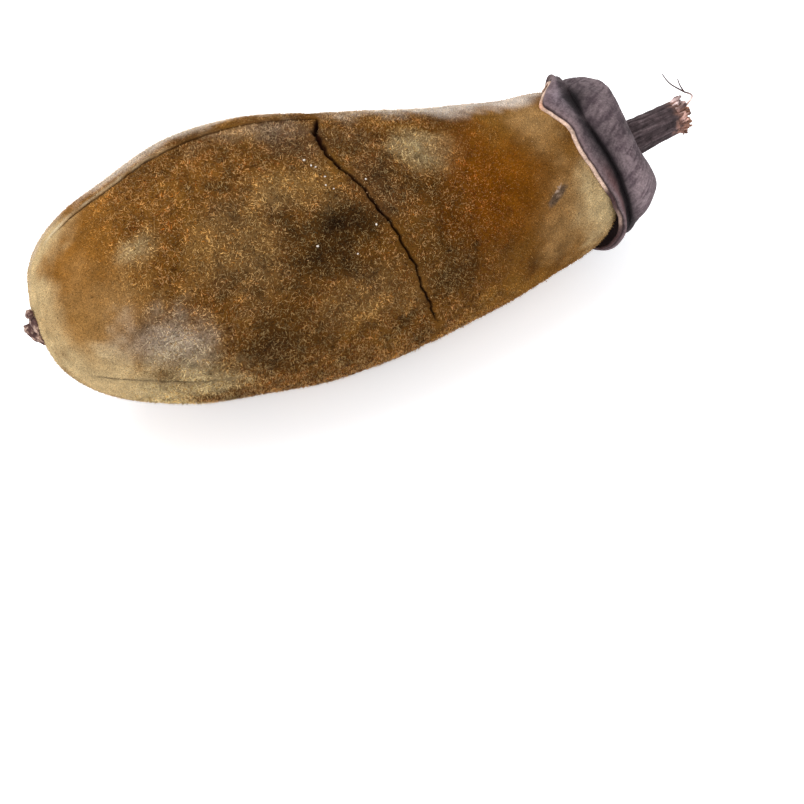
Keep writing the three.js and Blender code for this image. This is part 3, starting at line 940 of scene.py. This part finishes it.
# One short fibre of the broken end, which is longer where it stands in a clump
def shortFibre(rng):
    angle = rng.uniform(0, 360)
    out = stalkForm["tipRadius"] * math.sqrt(rng.uniform(0.05, 0.95))
    root = stalkCentre(stalkForm["endX"] - fibreForm["sunk"]) + radial(angle) * out
    clump = float(softPlane(angle * 0.04, out * 0.3, 37))
    length = 1.5 + 3.6 * clump + rng.uniform(-0.4, 0.4)
    heading = np.array([1, 0, 0.12]) + radial(angle) * rng.uniform(-0.1, 0.4) + rng.normal(0, 0.16, 3)
    heading = heading / np.linalg.norm(heading)
    curl = rng.normal(0, 1, 3)
    steps = np.linspace(0, 1, fibreForm["steps"])
    places = [root + heading * length * s + curl * (s**2) * rng.uniform(0.4, 1.0) for s in steps]
    thick = rng.uniform(*fibreForm["thick"])
    return places, [thick * (1 - 0.35 * s**2) for s in steps]


# Up in the picture, and out of it
pictureUp = np.array([0, podForm["bowAcross"], podForm["bowUp"]])
pictureOut = np.array([0, -podForm["bowUp"], podForm["bowAcross"]])


def besideStalk(x, up, out):
    return centreAt(x) + pictureUp * up + pictureOut * out


rng = np.random.default_rng(5)
fibres = [shortFibre(rng) for _ in range(fibreForm["count"])]
rootPlace, bendPlace, forkPlace = (besideStalk(*fibreForm[name]) for name in ("root", "bend", "fork"))
fibres.append((splineThrough([rootPlace, bendPlace, forkPlace], 12), np.linspace(0.4, 0.3, 13)))
for tip, sideways in zip(fibreForm["tips"], fibreForm["sideways"]):
    tipPlace = besideStalk(*tip)
    middle = (forkPlace + tipPlace) / 2 + np.array([sideways, 0, 0.2])
    fibres.append((splineThrough([forkPlace, middle, tipPlace], 12), np.linspace(0.3, 0.18, 13)))
frayMesh = fibreMesh("stalk_fibres", fibres)
frayPoint = placesOf(frayMesh)
away = frayPoint - stalkCentre(np.minimum(frayPoint[:, 0], 242))
mottle = softField(frayPoint, 1.3, 35)[:, None]
strand = softField(frayPoint * np.array([0.2, 1, 1]), 0.8, 36)[:, None]
tints = fibreForm["tints"]
colour = mix(tints["root"], tints["tip"], smooth(236, 243, frayPoint[:, 0])[:, None])
colour = colour * (0.4 + 1.2 * strand) + tints["grey"] * smooth(0.6, 0.85, strand) * 0.7
# Painted highlight: the fibres are paler towards the top of the broken end
colour = mix(colour, tints["pale"] * (0.6 + 0.8 * mottle), 0.8 * smooth(1.5, 4.5, away @ pictureUp)[:, None])
longShare = smooth(5.6, 7.6, np.linalg.norm(away, axis=1))[:, None]
colour = mix(colour * (0.55 + 0.85 * mottle), tints["long"], longShare)
paintPoints(frayMesh, "skin", colour)
fray = finishPiece("stalk_fibres", frayMesh, bark)
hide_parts("stalk")
print("stalk", len(stalkMesh.polygons), "faces, fibres", len(frayMesh.polygons))

print("stage: style remnant")

# Each lump of the remnant has a middle and three half axes
stubForm = [
    {"centre": (-0.4, 0.2, -1.4), "axes": [(1.5, 0, 0), (0, 2.8, 0), (0, 0, 3.4)]},
    {"centre": (-1.1, -0.9, -4.6), "axes": [(2.0, -3.4, -1.9), (1.4, 0.4, 0.8), (-0.6, -1.3, 1.7)]},
    {"centre": (-1.9, 0.3, -2.6), "axes": [(1.5, 0, 0), (0, 1.6, 0), (0, 0, 1.5)]},
    {"centre": (-1.2, 1.7, 2.3), "axes": [(1.3, 0, 0), (0, 1.5, 0), (0, 0, 2.0)]},
]
bm = bmesh.new()
for lump in stubForm:
    made = bmesh.ops.create_uvsphere(bm, u_segments=64, v_segments=44, radius=1)["verts"]
    co, centre = cornersOf(made), np.array(lump["centre"])
    rough = softField(co * 2.2 + centre, 1.0, 41) - 0.5
    fine = softField(co * 6 + centre, 1.0, 42) - 0.5
    co = (co * (1 + 0.5 * rough + 0.22 * fine)[:, None]) @ np.array(lump["axes"]) + centre
    moveTo(made, co + centreAt(0.0))
stubMesh = meshFrom("style_remnant", bm)
stubPoint = placesOf(stubMesh)
mottle = softField(stubPoint, 1.4, 43)[:, None] * 0.6 + softField(stubPoint, 0.6, 44)[:, None] * 0.4
colour = seen(98, 72, 68) * (0.3 + 1.1 * mottle) + seen(158, 140, 124) * smooth(0.42, 0.7, mottle) * 0.8
paintPoints(stubMesh, "skin", colour)
stubBark = leather.copy()
stubBark.name = "style bark"
stub = finishPiece("style_remnant", stubMesh, stubBark)
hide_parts("style_stub")

print("stage: coat of hairs")

hairSet = {
    "pieces": 4,
    "perPiece": 46000,
    "spare": 1.35,  # places tried for each hair, because some are where none grows
    "length": (1.0, 2.0),
    "root": 0.18,  # radius of the foot of a hair
    "sunk": 0.25,
    "lean": (10, 46),  # degrees off the surface
    "standing": 0.1,  # share of thin hairs that stand up as a fuzz
    "standingLean": (48, 80),
    "bright": 0.6,  # share of bright hairs
    "shades": (0.42, -0.55),  # how much paler these are than the coat, and the dark ones
    "scatter": 0.3,
    "tuft": 1.6,  # how much the shade differs from one tuft to the next
    "straw": 0.2,  # how far the bright hairs go towards straw
    "hues": (np.array([1.07, 1.19, 1.22]), np.array([1.28, 1.11, 0.7])),
    # painted light and shade: a hair is lighter at its lit tip and darker at its foot, in the shade of the coat
    "tip": 1.5,  # shade of a hair at its tip and at its foot
    "foot": 0.72,
    "cell": [[0.08, 0.08], [0.92, 0.08], [0.5, 0.92]],  # a face within its hair's cell of the map
    "look": {
        "layer": "hair",
        "noise": {"Scale": 900, "Detail": 2},
        "tone": (0.3, 0.7, 0.85, 1.15),
        "surface": {"Roughness": 0.7, "Specular IOR Level": 0.06},
    },
}

bm = bmesh.new()
bmesh.ops.create_cone(bm, cap_ends=True, cap_tris=False, segments=3, radius1=1, radius2=0, depth=1)
bmesh.ops.remove_doubles(bm, verts=bm.verts, dist=1e-4)
bmesh.ops.translate(bm, vec=(0, 0, 0.5), verts=bm.verts)
bm.verts.index_update()
hairPoints = cornersOf(bm.verts)
hairFaces = np.array([[v.index for v in face.verts] for face in bm.faces])
bm.free()
hairMaterial = paintedMaterial("coat hairs", hairSet["look"])

# Share of the shell's surface from the tip up to each point of its outline, and the outline's slope there
arcShare = np.concatenate([[0], np.cumsum((outline[1:, 1] + outline[:-1, 1]) / 2 * np.diff(arc))])
arcShare /= arcShare[-1]
outlineSlope = np.gradient(outline[:, 1], outline[:, 0] + np.arange(len(outline)) * 1e-9)


def unit(vectors):
    return vectors / np.linalg.norm(vectors, axis=1)[:, None]


# Where hairs grow: place along and round the pod, radius, point on the shell, and distance from a crack. None
# grows in the cracks, on the scar, under the calyx or on the resting spot.
def hairFeet(rng):
    tries = int(hairSet["perPiece"] * hairSet["spare"])
    reached = np.interp(rng.random(tries), arcShare, arc)
    x, radius = (np.interp(reached, arc, values) for values in outline.T)
    angle = rng.uniform(-180, 180, tries)
    (crackGap, crackHalf), *seams = fromLines(x, angle)
    free = (np.abs(crackGap) > crackHalf + 0.05) & (scarAt(x, angle) < -0.05) & (x < calyxAt(angle)[0] + 1.5)
    for gap, half in seams:
        free &= np.abs(gap) > (half + 0.15) * (half > 0)
    foot = podPoint(x, angle, radius)
    free &= foot[:, 2] > flatZ + 0.6
    near = np.minimum(np.abs(crackGap) - crackHalf, 9)
    seamGap, seamHalf = seams[0]
    near = np.where(seamHalf > 0.05, np.minimum(near, np.abs(seamGap) - seamHalf), near)
    keep = np.flatnonzero(free)[: hairSet["perPiece"]]
    return [values[keep] for values in (x, angle, radius, foot, near)]


# Straight out of the shell, towards the stalk and sideways at each foot
def hairSides(x, angle, radius, foot):
    slope = np.clip(np.interp(x, outline[:, 0], outlineSlope), -6, 6)
    out = podPoint(x, angle, radius, grow=1.0) - foot
    out = unit(out - np.stack([slope, 0 * slope, 0 * slope], -1))
    sideways = unit(np.cross(out, [1.0, 0.0, 0.0]) + 1e-6)
    return out, np.cross(sideways, out), sideways


# Whether a hair lies clear of the cracks, with its tip on the side where its foot is
def liesClear(x, angle, tip):
    fromCentre = tip - centreAt(tip[:, 0])
    tipAngle = np.degrees(np.arctan2(-fromCentre[:, 1], fromCentre[:, 2]))
    clear = np.ones(len(x), bool)
    lines = zip(fromLines(x, angle), fromLines(tip[:, 0], tipAngle), (0.6, 1.0, 1.0))
    for (gapFoot, half), (gapTip, _), reach in lines:
        crosses = (gapFoot * gapTip < 0) | (np.abs(gapTip) < half * reach)
        clear &= ~(crosses & (half > 0.02) & (np.abs(gapFoot) < 4))
    return clear


# Each hair is a lighter or darker shade of the coat there
def hairColour(rng, x, angle, foot, coarse, stands):
    base = coatColour(x, angle, foot)
    tuft = softField(foot, 0.9, 51) + softField(foot, 1.9, 52) - 1
    bright = rng.random(len(x)) < hairSet["bright"]
    shade = 1 + coarse * (np.where(bright, *hairSet["shades"]) + rng.normal(0, hairSet["scatter"], len(x)))
    shade = np.clip(shade * np.exp(hairSet["tuft"] * coarse * tuft), 0.12, 3.0)
    # Where the coat is pale, its hairs hardly go paler
    light = base @ np.array([0.21, 0.72, 0.07])
    shade = np.where(shade > 1, 1 + (shade - 1) * (1 - 0.7 * smooth(0.12, 0.4, light)), shade)[:, None]
    strawShare = hairSet["straw"] * coarse * bright * rng.uniform(0.4, 1.6, len(x))
    strawShare = strawShare * (0.25 + 0.75 * smooth(0, 0.09, light))
    strawShare = np.where(stands, 0.3, strawShare)[:, None]
    under = np.maximum(base - hairSet["straw"] * 0.6 * coarse[:, None] * coatForm["straw"], base * 0.5)
    colour = mix(under * shade, coatForm["straw"] * np.minimum(shade, 1.6), strawShare)
    # The bright hairs are yellower and the dark ones redder
    hue = np.where(bright[:, None], *hairSet["hues"])
    return colour * (1 + coarse[:, None] * (hue - 1))


# All the hairs of a piece as one mesh, each with a small cell of the map to itself
def hairMesh(name, root, sides, colour):
    count, perHair = len(root), len(hairPoints)
    places = root[:, None, :]
    for part, side in enumerate(sides):
        places = places + hairPoints[None, :, part : part + 1] * side[:, None, :]
    places[..., 2] = np.maximum(places[..., 2], flatZ + 0.05)
    faces = (hairFaces[None] + (np.arange(count) * perHair)[:, None, None]).reshape(-1, 3)
    mesh = bpy.data.meshes.new(name)
    mesh.vertices.add(count * perHair)
    mesh.vertices.foreach_set("co", ((places.reshape(-1, 3) + toFrame) * mm).ravel())
    mesh.loops.add(len(faces) * 3)
    mesh.loops.foreach_set("vertex_index", faces.ravel())
    mesh.polygons.add(len(faces))
    mesh.polygons.foreach_set("loop_start", np.arange(len(faces)) * 3)
    mesh.update(calc_edges=True)
    # Painted light and shade along each hair: lit tips, shaded feet
    isTip = (hairPoints[:, 2] > 0.5)[None, :, None]
    colours = np.where(isTip, colour[:, None, :] * hairSet["tip"], colour[:, None, :] * hairSet["foot"])
    paintPoints(mesh, "hair", colours.reshape(-1, 3))
    cells = math.ceil(math.sqrt(count))
    corner = np.stack([np.arange(count) % cells, np.arange(count) // cells], -1) / cells
    faceCorner = np.repeat(corner, len(hairFaces), 0)
    uv = faceCorner[:, None, :] + np.array(hairSet["cell"])[None] / cells
    layer = mesh.uv_layers.new(name="OFBake")
    layer.data.foreach_set("uv", uv.ravel())
    return mesh


def hairPiece(number):
    rng = np.random.default_rng(100 + number)
    x, angle, radius, foot, near = hairFeet(rng)
    out, onward, sideways = hairSides(x, angle, radius, foot)
    count = len(x)
    # The nap leans a little towards the tip of the pod
    heading = rng.uniform(0, 2 * np.pi, count)
    flow = unit(onward * (np.cos(heading) - 0.25)[:, None] + sideways * np.sin(heading)[:, None])
    # Hairs are short and flat beside the cracks, so that these stay open
    short = 0.4 + 0.6 * smooth(0.1, 2.6, near)
    lift = np.radians(rng.uniform(*hairSet["lean"], count) * short)
    stands = rng.random(count) < hairSet["standing"]
    lift = np.where(stands, np.radians(rng.uniform(*hairSet["standingLean"], count)), lift)[:, None]
    axis = flow * np.cos(lift) + out * np.sin(lift)
    third = unit(np.cross(axis, sideways + 0.01 * out))
    second = np.cross(third, axis)
    coarse = coarseness(x, angle)
    length = rng.uniform(*hairSet["length"], count) * (0.6 + 0.4 * coarse) * short
    thick = hairSet["root"] * rng.uniform(0.7, 1.3, count) * (0.7 + 0.3 * coarse)
    thick = np.where(stands, thick * 0.6, thick)[:, None]
    root = foot - out * hairSet["sunk"] - axis * 0.1
    sides = (second * thick, third * thick, axis * length[:, None])
    clear = liesClear(x, angle, root + sides[2])
    colour = hairColour(rng, *(values[clear] for values in (x, angle, foot, coarse, stands)))
    mesh = hairMesh(f"coat_{number + 1}", root[clear], [side[clear] for side in sides], colour)
    piece = finishPiece(mesh.name, mesh, hairMaterial)
    return len(mesh.polygons)


for number in range(hairSet["pieces"]):
    print("coat", number + 1, hairPiece(number), "faces")

print("stage: pale flecks")

fleckForm = {
    "places": [  # the bright ones, along and round the pod
        (93.5, 12), (94, 21), (107.6, 21), (96, 51), (91, 8), (95, 17), (92.4, 11), (96, 23), (84, 45),
        (105, 41),
    ],
    "brightSize": (0.18, 0.3),
    "count": 70,  # the others
    "along": (20, 178),
    "around": (-20, 150),
    "size": (0.08, 0.17),
    "look": {
        "layer": "fleck",
        "noise": {"Scale": 1800, "Detail": 2},
        "tone": (0.3, 0.7, 0.7, 1.1),
        "surface": {"Roughness": 0.8},
    },
}
rng = np.random.default_rng(71)
brightX, brightAngle = zip(*fleckForm["places"])
fleckX = np.concatenate([brightX, rng.uniform(*fleckForm["along"], fleckForm["count"])])
fleckAngle = np.concatenate([brightAngle, rng.uniform(*fleckForm["around"], fleckForm["count"])])
fleckSize = rng.uniform(*fleckForm["size"], len(fleckX))
fleckSize[: len(brightX)] = rng.uniform(*fleckForm["brightSize"], len(brightX))
fleckFoot = podPoint(fleckX, fleckAngle, podRadius(fleckX), grow=0.9)
bm = bmesh.new()
for foot, size in zip(fleckFoot, fleckSize):
    made = bmesh.ops.create_icosphere(bm, subdivisions=2, radius=1)["verts"]
    co = cornersOf(made)
    co = co * (0.6 + 0.9 * softField(co * 1.6 + foot, 1.0, 72))[:, None] * size * rng.uniform(0.6, 1.7, 3)
    moveTo(made, co + foot)
fleckMesh = meshFrom("pale_flecks", bm)
bright = np.arange(len(fleckMesh.vertices)) < len(brightX) * len(made)
paintPoints(fleckMesh, "fleck", np.where(bright[:, None], seen(226, 216, 206), seen(176, 138, 96)))
fleckMaterial = paintedMaterial("pale flecks", fleckForm["look"])
flecks = finishPiece("pale_flecks", fleckMesh, fleckMaterial)
print("flecks", len(fleckMesh.polygons), "faces")
